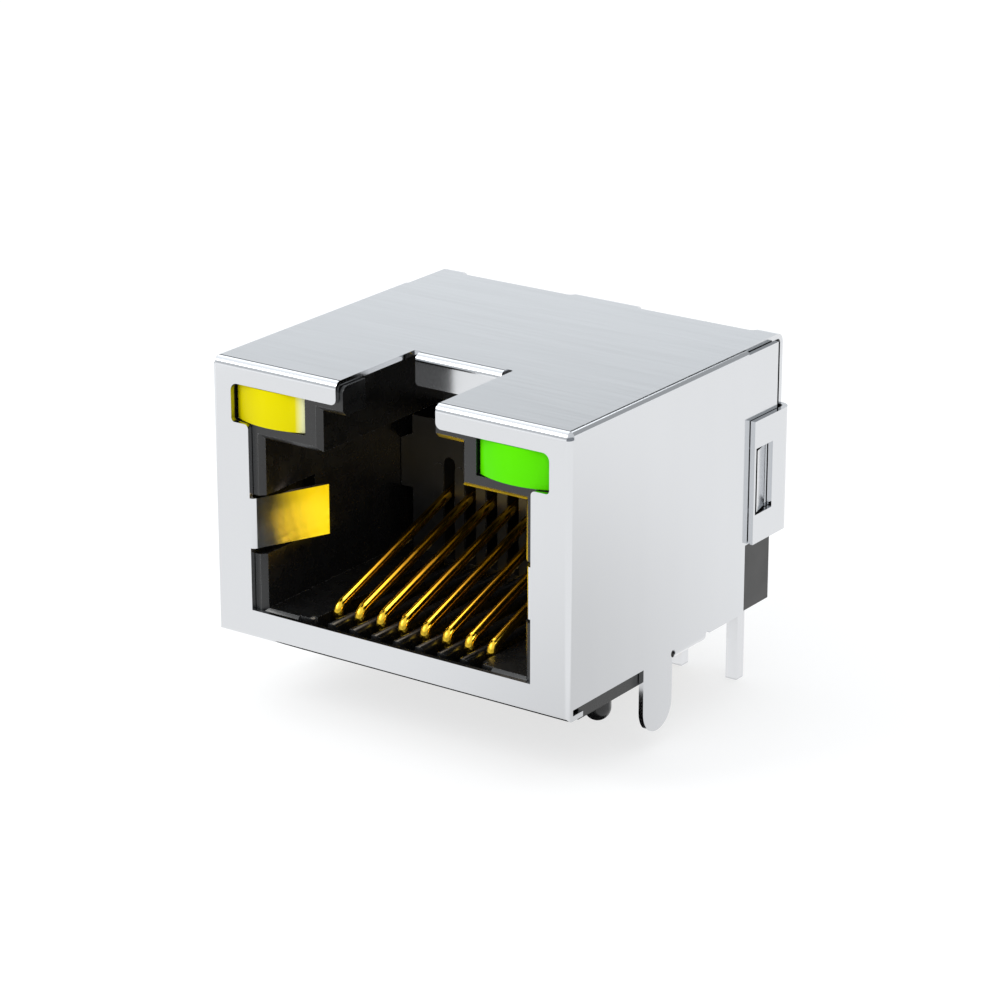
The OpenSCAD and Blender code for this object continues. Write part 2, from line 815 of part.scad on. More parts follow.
// The groove in the carrier's underside that a contact's wire lies in
module wire_groove(i) {
    half = wire_slot_w / 2;
    top = run_z + wire_r + lead_gap;
    block([contact_x(i) - half, contact_x(i) + half], [comb_d - over, tail_d(i) + wire_r + lead_gap],
        [under_z - over, top]);
}

module contact_carrier() {
    color(carrier_color)
        difference() {
            union() {
                difference() {
                    along_depth([comb_d, body_d + fit_gap + lap])
                        comb_outline();
                    for (i = [1 : contact_count])
                        comb_slot(contact_x(i));
                }
                for (i = [0 : contact_count])
                    comb_rib(contact_x(i) + contact_pitch / 2);
                block([-body_x, body_x], [body_d + fit_gap, block_d], [under_z, block_z]);
                both_sides()
                    translate([standoff_spacing / 2, back(standoff_d), 0])
                        cylinder(d = standoff_dia, h = under_z + lap);
            }
            for (i = [1 : contact_count])
                wire_groove(i);
            both_sides()
                for (x = [lamp_x - lead_pitch / 2, lamp_x + lead_pitch / 2])
                    block([x - lead_t / 2 - lead_gap, x + lead_t / 2 + lead_gap],
                        [lead_row_d - lead_t / 2 - lead_gap, block_d + over], [under_z - over, block_z + over]);
        }
}

// A straight stretch of wire along +Z, with a round end
module wire_rod(length) {
    rotate_extrude() {
        square([wire_r, length - wire_r]);
        translate([0, length - wire_r])
            intersection() {
                circle(r = wire_r);
                square(wire_r);
            }
    }
}

// A bend of wire about +Z, from +X through an angle, with its centre at the origin
module wire_bend(radius, angle) {
    rotate_extrude(angle = angle)
        translate([radius, 0])
            circle(r = wire_r);
}

// One contact: sprung arm, hairpin at the mouth, run along the floor, and solder tail
module contact(i) {
    start_d = hairpin_d - hairpin_r * sin(arm_angle);
    bend_d = tail_d(i) - tail_bend_r;
    bend_z = run_z - tail_bend_r;
    color(gold_color)
        translate([contact_x(i), 0, 0]) {
            translate([0, back(hairpin_d), hairpin_z])
                rotate([90, 0, 90])
                    rotate([0, 0, 90 + arm_angle]) {
                        wire_bend(hairpin_r, 180 - arm_angle);
                        translate([hairpin_r, 0, 0])
                            rotate([90, 0, 0])
                                wire_rod((arm_d - start_d) / cos(arm_angle));
                    }
            translate([0, back(hairpin_d), run_z])
                rotate([-90, 0, 0])
                    cylinder(r = wire_r, h = bend_d - hairpin_d);
            translate([0, back(bend_d), bend_z])
                rotate([90, 0, 90]) {
                    wire_bend(tail_bend_r, 90);
                    translate([tail_bend_r, 0, 0])
                        rotate([90, 0, 0])
                            wire_rod(bend_z + tail_l);
                }
        }
}

// One lamp: a moulded block whose front is a shallow cylinder about an upright axis.
// The front of the lens stands in the window, and the body behind the sheet is taller.
module lamp() {
    r = (pow(lamp_w / 2, 2) + pow(lens_bulge, 2)) / (2 * lens_bulge);
    back_d = crown_d + lamp_l;
    bottom_z = lamp_z + fit_gap;
    intersection() {
        along_height([bottom_z, lamp_z + lamp_h])
            intersection() {
                area([lamp_x - lamp_w / 2, back(crown_d)], [lamp_x + lamp_w / 2, back(back_d)]);
                union() {
                    translate([lamp_x, back(crown_d + r)])
                        circle(r = r, $fn = 96);
                    area([lamp_x - lamp_w / 2, back(crown_d + r)], [lamp_x + lamp_w / 2, back(back_d + r)]);
                }
            }
        along_width([lamp_x - lamp_w, lamp_x + lamp_w]) {
            area([back(crown_d) - over, bottom_z - over], [back(back_d) + over, brow_z - fit_gap]);
            area([back(body_front), bottom_z - over], [back(back_d) + over, shell_h]);
        }
    }
}

// One lamp lead at x: back from the lamp, then straight down to its tail
module lamp_lead(x) {
    half = lead_t / 2;
    y0 = back(crown_d + lamp_l);
    y1 = back(lead_row_d + half);
    z1 = lead_z + half;
    color(tin_color)
        along_width([x - half, x + half])
            difference() {
                area([y0, -tail_l], [y1, z1]);
                difference() {
                    area([y0 - over, -tail_l - over], [y1 - lead_t, z1 - lead_t]);
                    corner([y1 - lead_t, z1 - lead_t], [-1, -1], lead_bend_r - lead_t);
                }
                corner([y1, z1], [-1, -1], lead_bend_r);
            }
}

module lamp_yellow() {
    color(yellow_color)
        mirror([1, 0, 0])
            lamp();
}

module lamp_green() {
    color(green_color)
        lamp();
}

shield();
housing();
contact_carrier();
contact(1);  // contact_1
contact(2);  // contact_2
contact(3);  // contact_3
contact(4);  // contact_4
contact(5);  // contact_5
contact(6);  // contact_6
contact(7);  // contact_7
contact(8);  // contact_8
lamp_yellow();
lamp_green();
lamp_lead(-lamp_x - lead_pitch / 2);  // lamp_yellow_lead_outer
lamp_lead(-lamp_x + lead_pitch / 2);  // lamp_yellow_lead_inner
lamp_lead(lamp_x - lead_pitch / 2);  // lamp_green_lead_inner
lamp_lead(lamp_x + lead_pitch / 2);  // lamp_green_lead_outer
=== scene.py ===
import math

import bpy
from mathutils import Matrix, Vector


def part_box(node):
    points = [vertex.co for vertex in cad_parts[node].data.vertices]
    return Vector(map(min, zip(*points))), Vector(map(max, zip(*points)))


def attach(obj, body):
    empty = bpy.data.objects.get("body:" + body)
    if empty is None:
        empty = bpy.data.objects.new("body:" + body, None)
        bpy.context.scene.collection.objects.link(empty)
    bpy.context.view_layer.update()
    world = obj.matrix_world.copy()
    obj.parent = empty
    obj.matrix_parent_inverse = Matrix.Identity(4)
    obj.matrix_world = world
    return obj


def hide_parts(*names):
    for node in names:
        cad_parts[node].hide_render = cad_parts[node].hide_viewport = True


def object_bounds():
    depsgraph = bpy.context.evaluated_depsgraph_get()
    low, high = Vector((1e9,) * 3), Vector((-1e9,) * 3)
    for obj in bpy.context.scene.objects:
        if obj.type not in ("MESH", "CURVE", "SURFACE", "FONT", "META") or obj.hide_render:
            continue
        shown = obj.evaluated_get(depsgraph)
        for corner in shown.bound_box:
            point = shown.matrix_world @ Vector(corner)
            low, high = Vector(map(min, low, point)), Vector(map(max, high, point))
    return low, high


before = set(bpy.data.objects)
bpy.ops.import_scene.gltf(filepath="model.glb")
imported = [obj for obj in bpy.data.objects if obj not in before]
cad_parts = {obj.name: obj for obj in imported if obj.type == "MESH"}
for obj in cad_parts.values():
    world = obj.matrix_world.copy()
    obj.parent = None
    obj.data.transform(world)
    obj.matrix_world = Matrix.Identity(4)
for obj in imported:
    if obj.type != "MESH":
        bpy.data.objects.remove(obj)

# Housing: one black moulding of glass-filled resin, with the port, the latch channel, the lamp
# pockets and the ribbed floor. Its edges come out of the mould slightly rounded and carry a painted
# highlight, and its skin has the fine grain of the mould.
MM = 0.001
cad_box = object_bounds()
scene = bpy.context.scene

HOUSING_EDGE = 0.045 * MM
HOUSING_BLACK = (0.006, 0.0063, 0.0068, 1)
# The colour of the painted highlight along the housing's rounded edges
HOUSING_PAINTED_HIGHLIGHT = (0.33, 0.335, 0.34, 1)
HOUSING_ROUGHNESS = 0.27
HOUSING_GRAIN_DENSITY = 9000
HOUSING_GRAIN_DEPTH = 0.0015 * MM
RESIN_IOR = 1.6

# How loose triangles become one clean body with rounded edges
MERGE_DISTANCE = 1e-4 * MM
FLAT_ANGLE = math.radians(0.2)
SHARP_ANGLE = math.radians(40)
SMOOTH_ANGLE = math.radians(35)
ROUNDING_SEGMENTS = 2


def rounded_copy(node, edge):
    """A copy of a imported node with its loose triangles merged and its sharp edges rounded.
    The attribute "edge" is 1 on the rounded edges and 0 on all other faces."""
    piece = bpy.data.objects.new(node + "_rounded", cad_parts[node].data.copy())
    scene.collection.objects.link(piece)
    bpy.ops.object.select_all(action="DESELECT")
    piece.select_set(True)
    bpy.context.view_layer.objects.active = piece
    bpy.ops.mesh.customdata_custom_splitnormals_clear()
    bpy.ops.object.mode_set(mode="EDIT")
    bpy.ops.mesh.select_all(action="SELECT")
    bpy.ops.mesh.remove_doubles(threshold=MERGE_DISTANCE)
    bpy.ops.mesh.mark_sharp(clear=True)
    bpy.ops.mesh.dissolve_limited(angle_limit=FLAT_ANGLE)
    bpy.ops.object.mode_set(mode="OBJECT")
    piece.data.materials.clear()
    piece.data.materials.append(None)
    piece.data.materials.append(None)
    rounding = piece.modifiers.new("rounding", "BEVEL")
    rounding.material = 1
    rounding.limit_method = "ANGLE"
    rounding.angle_limit = SHARP_ANGLE
    rounding.width = edge
    rounding.segments = ROUNDING_SEGMENTS
    bpy.ops.object.modifier_apply(modifier=rounding.name)
    mark = piece.data.attributes.new("edge", "FLOAT", "FACE")
    for face, entry in zip(piece.data.polygons, mark.data):
        entry.value = face.material_index
    piece.data.materials.pop()
    bpy.ops.object.shade_smooth_by_angle(angle=SMOOTH_ANGLE)
    weighting = piece.modifiers.new("weighting", "WEIGHTED_NORMAL")
    weighting.keep_sharp = True
    bpy.ops.object.modifier_apply(modifier=weighting.name)
    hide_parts(node)
    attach(piece, "root")
    return piece


def add_socket(group, name, direction, kind):
    """One named input or output of a node group."""
    group.interface.new_socket(name, in_out=direction, socket_type=kind)


# The grain of a mould: soft pits of two sizes, the coarse ones also as a mask
COARSE_SHARE_OF_DENSITY = 0.17
FINE_DETAIL = 3
COARSE_DETAIL = 2

moulded_grain = bpy.data.node_groups.new("moulded_grain", "ShaderNodeTree")
add_socket(moulded_grain, "Vector", "INPUT", "NodeSocketVector")
add_socket(moulded_grain, "Density", "INPUT", "NodeSocketFloat")
add_socket(moulded_grain, "Coarse share", "INPUT", "NodeSocketFloat")
add_socket(moulded_grain, "Mask", "OUTPUT", "NodeSocketFloat")
add_socket(moulded_grain, "Height", "OUTPUT", "NodeSocketFloat")
nodes, links = moulded_grain.nodes, moulded_grain.links
group_in = nodes.new("NodeGroupInput")
group_out = nodes.new("NodeGroupOutput")
fine = nodes.new("ShaderNodeTexNoise")
fine.inputs["Detail"].default_value = FINE_DETAIL
coarse = nodes.new("ShaderNodeTexNoise")
coarse.inputs["Detail"].default_value = COARSE_DETAIL
coarse_density = nodes.new("ShaderNodeMath")
coarse_density.operation = "MULTIPLY"
coarse_density.inputs[1].default_value = COARSE_SHARE_OF_DENSITY
both = nodes.new("ShaderNodeMix")
links.new(group_in.outputs["Vector"], fine.inputs["Vector"])
links.new(group_in.outputs["Vector"], coarse.inputs["Vector"])
links.new(group_in.outputs["Density"], fine.inputs["Scale"])
links.new(group_in.outputs["Density"], coarse_density.inputs[0])
links.new(coarse_density.outputs["Value"], coarse.inputs["Scale"])
links.new(group_in.outputs["Coarse share"], both.inputs["Factor"])
links.new(fine.outputs["Fac"], both.inputs["A"])
links.new(coarse.outputs["Fac"], both.inputs["B"])
links.new(coarse.outputs["Fac"], group_out.inputs["Mask"])
links.new(both.outputs["Result"], group_out.inputs["Height"])

# Painted highlight along the rounded edges: they turn to a lighter colour, more in some places
HIGHLIGHT_PATCH_DENSITY = 700
HIGHLIGHT_PATCH_FROM = 0.3
HIGHLIGHT_PATCH_TO = 0.6
WEAKEST_HIGHLIGHT = 0.45

edge_highlight_paint = bpy.data.node_groups.new("edge_highlight_paint", "ShaderNodeTree")
add_socket(edge_highlight_paint, "Vector", "INPUT", "NodeSocketVector")
add_socket(edge_highlight_paint, "Body color", "INPUT", "NodeSocketColor")
add_socket(edge_highlight_paint, "Edge color", "INPUT", "NodeSocketColor")
add_socket(edge_highlight_paint, "Color", "OUTPUT", "NodeSocketColor")
nodes, links = edge_highlight_paint.nodes, edge_highlight_paint.links
group_in = nodes.new("NodeGroupInput")
group_out = nodes.new("NodeGroupOutput")
edge_mark = nodes.new("ShaderNodeAttribute")
edge_mark.attribute_name = "edge"
patches = nodes.new("ShaderNodeTexNoise")
patches.inputs["Scale"].default_value = HIGHLIGHT_PATCH_DENSITY
highlight_share = nodes.new("ShaderNodeMapRange")
highlight_share.inputs["From Min"].default_value = HIGHLIGHT_PATCH_FROM
highlight_share.inputs["From Max"].default_value = HIGHLIGHT_PATCH_TO
highlight_share.inputs["To Min"].default_value = WEAKEST_HIGHLIGHT
highlighted_edge = nodes.new("ShaderNodeMath")
highlighted_edge.operation = "MULTIPLY"
blend = nodes.new("ShaderNodeMix")
blend.data_type = "RGBA"
links.new(group_in.outputs["Vector"], patches.inputs["Vector"])
links.new(patches.outputs["Fac"], highlight_share.inputs["Value"])
links.new(highlight_share.outputs["Result"], highlighted_edge.inputs[0])
links.new(edge_mark.outputs["Fac"], highlighted_edge.inputs[1])
links.new(highlighted_edge.outputs["Value"], blend.inputs["Factor"])
links.new(group_in.outputs["Body color"], blend.inputs["A"])
links.new(group_in.outputs["Edge color"], blend.inputs["B"])
links.new(blend.outputs["Result"], group_out.inputs["Color"])

# The part of a noise's range that it really covers
MASK_LOW = 0.3
MASK_HIGH = 0.7


def new_material(name):
    """An empty finish: the material, its node tree, its shader and its Object coordinates."""
    material = bpy.data.materials.new(name)
    material.use_nodes = True
    tree = material.node_tree
    place = tree.nodes.new("ShaderNodeTexCoord")
    return material, tree, tree.nodes["Principled BSDF"], place.outputs["Object"]


def place_group(tree, group, vector, **values):
    """Places a node group in a finish. Its values are named as its inputs are, such as
    coarse_share for "Coarse share"."""
    node = tree.nodes.new("ShaderNodeGroup")
    node.node_tree = group
    tree.links.new(vector, node.inputs["Vector"])
    for name, value in values.items():
        node.inputs[name.replace("_", " ").capitalize()].default_value = value
    return node


def spread(tree, mask, low, high):
    """A value that runs from low to high over the range that a noise covers."""
    node = tree.nodes.new("ShaderNodeMapRange")
    node.inputs["From Min"].default_value = MASK_LOW
    node.inputs["From Max"].default_value = MASK_HIGH
    node.inputs["To Min"].default_value = low
    node.inputs["To Max"].default_value = high
    tree.links.new(mask, node.inputs["Value"])
    return node.outputs["Result"]


def tinted(tree, mask, color, darker):
    """A colour that drops to a share of itself where the mask is low."""
    node = tree.nodes.new("ShaderNodeMix")
    node.data_type = "RGBA"
    node.inputs["A"].default_value = [darker * channel for channel in color[:3]] + [1]
    node.inputs["B"].default_value = color
    tree.links.new(spread(tree, mask, 0, 1), node.inputs["Factor"])
    return node.outputs["Result"]


def relief(tree, shader, height, depth):
    """Sets a bump of a given depth into the shader."""
    node = tree.nodes.new("ShaderNodeBump")
    node.inputs["Distance"].default_value = depth
    tree.links.new(height, node.inputs["Height"])
    tree.links.new(node.outputs["Normal"], shader.inputs["Normal"])


# How the grain of a resin mottles its colour and its gloss, and how much of it is coarse
RESIN_DARKER = 0.8
RESIN_GLOSS_SPREAD = 0.05
RESIN_COARSE_SHARE = 0.35


def moulded_resin(name, color, edge_color, roughness, density, depth):
    """A black moulding resin, with its grain and a painted highlight along its rounded edges."""
    material, tree, shader, place = new_material(name)
    grain = place_group(
        tree, moulded_grain, place, density=density, coarse_share=RESIN_COARSE_SHARE)
    edges = place_group(tree, edge_highlight_paint, place, edge_color=edge_color)
    body = tinted(tree, grain.outputs["Mask"], color, RESIN_DARKER)
    tree.links.new(body, edges.inputs["Body color"])
    tree.links.new(edges.outputs["Color"], shader.inputs["Base Color"])
    gloss = spread(
        tree, grain.outputs["Mask"], roughness - RESIN_GLOSS_SPREAD, roughness + RESIN_GLOSS_SPREAD)
    tree.links.new(gloss, shader.inputs["Roughness"])
    relief(tree, shader, grain.outputs["Height"], depth)
    shader.inputs["IOR"].default_value = RESIN_IOR
    return material


housing = rounded_copy("housing", HOUSING_EDGE)
housing.data.materials[0] = moulded_resin(
    "housing_resin", HOUSING_BLACK, HOUSING_PAINTED_HIGHLIGHT, HOUSING_ROUGHNESS, HOUSING_GRAIN_DENSITY,
    HOUSING_GRAIN_DEPTH)

# Contact carrier: a second black moulding behind the port, snapped in from the rear. Its comb
# plate guides the free ends of the contacts, and its resin is a little greyer and more matt.
CARRIER_EDGE = 0.04 * MM
CARRIER_BLACK = (0.008, 0.0084, 0.009, 1)
# The colour of the painted highlight along the carrier's rounded edges, near white
CARRIER_PAINTED_HIGHLIGHT = (0.85, 0.86, 0.88, 1)
CARRIER_ROUGHNESS = 0.36
CARRIER_GRAIN_DENSITY = 7000
CARRIER_GRAIN_DEPTH = 0.002 * MM

carrier = rounded_copy("contact_carrier", CARRIER_EDGE)
carrier.data.materials[0] = moulded_resin(
    "carrier_resin", CARRIER_BLACK, CARRIER_PAINTED_HIGHLIGHT, CARRIER_ROUGHNESS, CARRIER_GRAIN_DENSITY,
    CARRIER_GRAIN_DEPTH)

# Contacts: eight spring wires, drawn, gold-plated and bent over a hairpin at the mouth. They
# lie in the slots of the floor, and the drawing leaves fine lines along each wire.
CONTACTS = 8
GOLD = (1.0, 0.64, 0.05, 1)
GOLD_DARKER = 0.9
GOLD_ROUGHNESS = 0.14
GOLD_LINES = (14000, 900, 9000)
GOLD_LINE_DEPTH = 0.0008 * MM

# The grain of a worked metal: noise that is stretched along the way it was drawn or rolled,
# with wider clouds of it as a mask
LINE_DETAIL = 4
CLOUD_SCALE = 0.12

worked_grain = bpy.data.node_groups.new("worked_grain", "ShaderNodeTree")
add_socket(worked_grain, "Vector", "INPUT", "NodeSocketVector")
add_socket(worked_grain, "Lines", "INPUT", "NodeSocketVector")
add_socket(worked_grain, "Mask", "OUTPUT", "NodeSocketFloat")
add_socket(worked_grain, "Height", "OUTPUT", "NodeSocketFloat")
nodes, links = worked_grain.nodes, worked_grain.links
group_in = nodes.new("NodeGroupInput")
group_out = nodes.new("NodeGroupOutput")
stretch = nodes.new("ShaderNodeVectorMath")
stretch.operation = "MULTIPLY"
streaks = nodes.new("ShaderNodeTexNoise")
streaks.inputs["Scale"].default_value = 1
streaks.inputs["Detail"].default_value = LINE_DETAIL
clouds = nodes.new("ShaderNodeTexNoise")
clouds.inputs["Scale"].default_value = CLOUD_SCALE
links.new(group_in.outputs["Vector"], stretch.inputs[0])
links.new(group_in.outputs["Lines"], stretch.inputs[1])
links.new(stretch.outputs["Vector"], streaks.inputs["Vector"])
links.new(stretch.outputs["Vector"], clouds.inputs["Vector"])
links.new(clouds.outputs["Fac"], group_out.inputs["Mask"])
links.new(streaks.outputs["Fac"], group_out.inputs["Height"])

# How far the lines of a metal spread its gloss
METAL_GLOSS_SPREAD = 0.2


def worked_metal(name, color, darker, roughness, lines, depth):
    """A bright metal with the lines of drawing or rolling in its colour, gloss and relief."""
    material, tree, shader, place = new_material(name)
    grain = place_group(tree, worked_grain, place, lines=lines)
    tree.links.new(tinted(tree, grain.outputs["Mask"], color, darker), shader.inputs["Base Color"])
    gloss = spread(
        tree, grain.outputs["Height"], (1 - METAL_GLOSS_SPREAD) * roughness,
        (1 + METAL_GLOSS_SPREAD) * roughness)
    tree.links.new(gloss, shader.inputs["Roughness"])
    relief(tree, shader, grain.outputs["Height"], depth)
    shader.inputs["Metallic"].default_value = 1
    return material


def finish_node(node, material):
    """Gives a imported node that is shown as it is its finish."""
    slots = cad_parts[node].data.materials
    slots.clear()
    slots.append(material)


contact_gold = worked_metal(
    "contact_gold", GOLD, GOLD_DARKER, GOLD_ROUGHNESS, GOLD_LINES, GOLD_LINE_DEPTH)
for number in range(1, CONTACTS + 1):
    finish_node(f"contact_{number}", contact_gold)

# Lamps: two blocks of tinted clear resin, pushed into the pockets above the port until their
# curved lenses stand in the windows of the shell. The left one is yellow, the right one green.
LENS_EDGE = 0.03 * MM
LENS_SMOOTHEST = 0.18
LENS_ROUGHEST = 0.28
LENS_GRAIN_DENSITY = 5000
LENS_GRAIN_DEPTH = 0.0015 * MM
LENS_COARSE_SHARE = 0.6
LENS_SPECULAR = 0.04
YELLOW = (0.75, 0.655, 0.0, 1)
# Painted shade towards the ends of the lenses, and a painted highlight at the right end of the
# yellow one
YELLOW_PAINTED_SHADE = (0.61, 0.52, 0.0, 1)
YELLOW_PAINTED_HIGHLIGHT = (0.93, 0.93, 0.52, 1)
GREEN = (0.108, 0.76, 0.0, 1)
GREEN_PAINTED_SHADE = (0.10, 0.73, 0.0, 1)
YELLOW_STOPS = [(0, YELLOW_PAINTED_SHADE), (0.45, YELLOW), (0.88, YELLOW), (0.97, YELLOW_PAINTED_HIGHLIGHT)]
GREEN_STOPS = [(0, GREEN_PAINTED_SHADE), (0.5, GREEN), (1, GREEN_PAINTED_SHADE)]


def add_ramp(tree, stops):
    """A colour ramp with the given positions and colours."""
    node = tree.nodes.new("ShaderNodeValToRGB")
    while len(node.color_ramp.elements) < len(stops):
        node.color_ramp.elements.new(0.5)
    for element, (position, color) in zip(node.color_ramp.elements, stops):
        element.position = position
        element.color = color
    return node


def lens_material(name, stops, left, right):
    """A tinted lens whose colour changes from its left side to its right side: the stops paint
    shade towards its ends and, on the yellow lens, a highlight at its right end.
    """
    material, tree, shader, place = new_material(name)
    axes = tree.nodes.new("ShaderNodeSeparateXYZ")
    width = tree.nodes.new("ShaderNodeMapRange")
    width.inputs["From Min"].default_value = left
    width.inputs["From Max"].default_value = right
    ramp = add_ramp(tree, stops)
    tree.links.new(place, axes.inputs["Vector"])
    tree.links.new(axes.outputs["X"], width.inputs["Value"])
    tree.links.new(width.outputs["Result"], ramp.inputs["Fac"])
    tree.links.new(ramp.outputs["Color"], shader.inputs["Base Color"])
    grain = place_group(
        tree, moulded_grain, place, density=LENS_GRAIN_DENSITY, coarse_share=LENS_COARSE_SHARE)
    gloss = spread(tree, grain.outputs["Mask"], LENS_SMOOTHEST, LENS_ROUGHEST)
    tree.links.new(gloss, shader.inputs["Roughness"])
    relief(tree, shader, grain.outputs["Height"], LENS_GRAIN_DEPTH)
    shader.inputs["Specular IOR Level"].default_value = LENS_SPECULAR
    return material


for node, slot, stops in [
    ("lamp_yellow", "yellow_lens", YELLOW_STOPS),
    ("lamp_green", "green_lens", GREEN_STOPS),
]:
    low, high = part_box(node)
    lamp = rounded_copy(node, LENS_EDGE)
    lamp.data.materials[0] = lens_material(slot, stops, low.x, high.x)

# Lamp leads: four square wires of tinned steel. They run back over the port, bend down behind
# it and end in solder tails.
TIN = (0.71, 0.72, 0.74, 1)
TIN_DARKER = 0.96
TIN_ROUGHNESS = 0.2
TIN_LINES = (9000, 600, 600)
TIN_LINE_DEPTH = 0.001 * MM

lead_tin = worked_metal("lead_tin", TIN, TIN_DARKER, TIN_ROUGHNESS, TIN_LINES, TIN_LINE_DEPTH)
for color in ("yellow", "green"):
    for side in ("outer", "inner"):
        finish_node(f"lamp_{color}_lead_{side}", lead_tin)

# Shield: one sheet of bright plated metal, stamped and folded round the mouldings, with its
# springs, flap, latches, legs and toes. It has a faint grain from rolling.
SHEET = (0.70, 0.714, 0.735, 1)
SHEET_DARKER = 0.99
SHEET_ROUGHNESS = 0.12
SHEET_LINES = (250, 7000, 400)
SHEET_LINE_DEPTH = 0.0001 * MM

shell_sheet = worked_metal(
    "shell_sheet", SHEET, SHEET_DARKER, SHEET_ROUGHNESS, SHEET_LINES, SHEET_LINE_DEPTH)
finish_node("shield", shell_sheet)

# Camera: it stands to the front right and a little above the jack, with a long lens that is
# close enough to show the depth of the port in perspective.
CAMERA_PLACE = (74.666 * MM, -103.625 * MM, 51.254 * MM)
CAMERA_DOWN = math.radians(19.589)
CAMERA_AROUND = math.radians(35.07)
CAMERA_LENS = 130.03
CAMERA_SENSOR = 36
CAMERA_NEAR = 5 * MM

camera_data = bpy.data.cameras.new("camera")
camera = bpy.data.objects.new("camera", camera_data)
scene.collection.objects.link(camera)
camera.location = CAMERA_PLACE
camera.rotation_euler = (math.pi / 2 - CAMERA_DOWN, 0, CAMERA_AROUND)
camera_data.sensor_width = CAMERA_SENSOR
camera_data.lens = CAMERA_LENS
camera_data.clip_start = CAMERA_NEAR
scene.camera = camera
scene.view_settings.view_transform = "Standard"

# Floor: a wide table top under the tips of the tails. It is a pale grey that gives off a little
# light of its own, so it shows white and the shadow of the jack stays faint.
FLOOR_SIZE = 2000 * MM
FLOOR_GREY = (0.36, 0.36, 0.36, 1)
FLOOR_GLOW = 0.70
floor_z = cad_box[0].z


def matt_sheet(name, width, depth, place, color):
    """A flat matt sheet that belongs to the stage."""
    bpy.ops.object.select_all(action="DESELECT")
    bpy.ops.mesh.primitive_plane_add(size=1, location=place)
    sheet = bpy.context.object
    sheet.name = name
    sheet.scale = (width, depth, 1)
    bpy.ops.object.transform_apply(location=True, scale=True)
    material = bpy.data.materials.new(name)
    material.use_nodes = True
    shader = material.node_tree.nodes["Principled BSDF"]
    shader.inputs["Base Color"].default_value = color
    shader.inputs["Roughness"].default_value = 1
    shader.inputs["Specular IOR Level"].default_value = 0
    sheet.data.materials.append(material)
    return sheet


floor = matt_sheet("floor", FLOOR_SIZE, FLOOR_SIZE, (0, 0, floor_z), FLOOR_GREY)
shader = floor.active_material.node_tree.nodes["Principled BSDF"]
shader.inputs["Emission Color"].default_value = (1, 1, 1, 1)
shader.inputs["Emission Strength"].default_value = FLOOR_GLOW

# Cards: two sheets that lie on the floor, where only reflections see them. The wide one carries a
# painted shadow that shades the sides of the shell towards the floor, and the black one is painted
# shade under the jack that keeps its bottom folds dark.
CARD_LIFT = 0.05 * MM
CARD_BLACK = (0, 0, 0, 1)
WIDE_SIZE = 100 * MM
SHADE_CENTRE = (13.7 * MM, 2.4 * MM, floor_z)
SHADE_TURN = math.radians(54.9)
SHADE_STRETCH = (4, 1, 1)
SHADE_REACH = 10.5 * MM
SHADE_LOW = 0.79
SHADE_HIGH = 1.05
BLACK_WIDTH = 15 * MM
BLACK_DEPTH = 5.8 * MM
BLACK_Y = -1.7 * MM

wide_place = (SHADE_CENTRE[0], SHADE_CENTRE[1], floor_z + CARD_LIFT)
# The painted shadow is darkest at SHADE_CENTRE, stretched along one direction, and fades out over
# SHADE_REACH
painted_shadow_card = matt_sheet("painted_shadow_card", WIDE_SIZE, WIDE_SIZE, wide_place, CARD_BLACK)
tree = painted_shadow_card.active_material.node_tree
shader = tree.nodes["Principled BSDF"]
place = tree.nodes.new("ShaderNodeTexCoord")
turned = tree.nodes.new("ShaderNodeMapping")
turned.vector_type = "TEXTURE"
turned.inputs["Location"].default_value = SHADE_CENTRE
turned.inputs["Rotation"].default_value = (0, 0, SHADE_TURN)
turned.inputs["Scale"].default_value = SHADE_STRETCH
away = tree.nodes.new("ShaderNodeVectorMath")
away.operation = "LENGTH"
shade = tree.nodes.new("ShaderNodeMapRange")
shade.interpolation_type = "SMOOTHSTEP"
shade.inputs["From Max"].default_value = SHADE_REACH
shade.inputs["To Min"].default_value = SHADE_LOW
shade.inputs["To Max"].default_value = SHADE_HIGH
tree.links.new(place.outputs["Object"], turned.inputs["Vector"])
tree.links.new(turned.outputs["Vector"], away.inputs[0])
tree.links.new(away.outputs["Value"], shade.inputs["Value"])
tree.links.new(shade.outputs["Result"], shader.inputs["Emission Color"])
shader.inputs["Emission Strength"].default_value = 1

# The black card is painted shade under the jack, seen only in reflections
black_place = (0, BLACK_Y, floor_z + 2 * CARD_LIFT)
painted_shade_card = matt_sheet("painted_shade_card", BLACK_WIDTH, BLACK_DEPTH, black_place, CARD_BLACK)
for card in (painted_shadow_card, painted_shade_card):
    card.visible_camera = False
    card.visible_diffuse = False
    card.visible_shadow = False

# Lights: a soft key light stands high at the front left. Small warm cards of light lie in the
# port, out of the camera's sight: those that face up show in the left grounding spring, and
# those that face down draw the streaks on the wires.
KEY_PLACE = (-75 * MM, -100 * MM, 110 * MM)
KEY_SIZE = (60 * MM, 60 * MM)
KEY_WATTS = 0.07
KEY_COLOR = (1, 0.99, 0.97)
FACING_UP = 1
FACING_DOWN = -1
AMBER = (1, 0.66, 0)

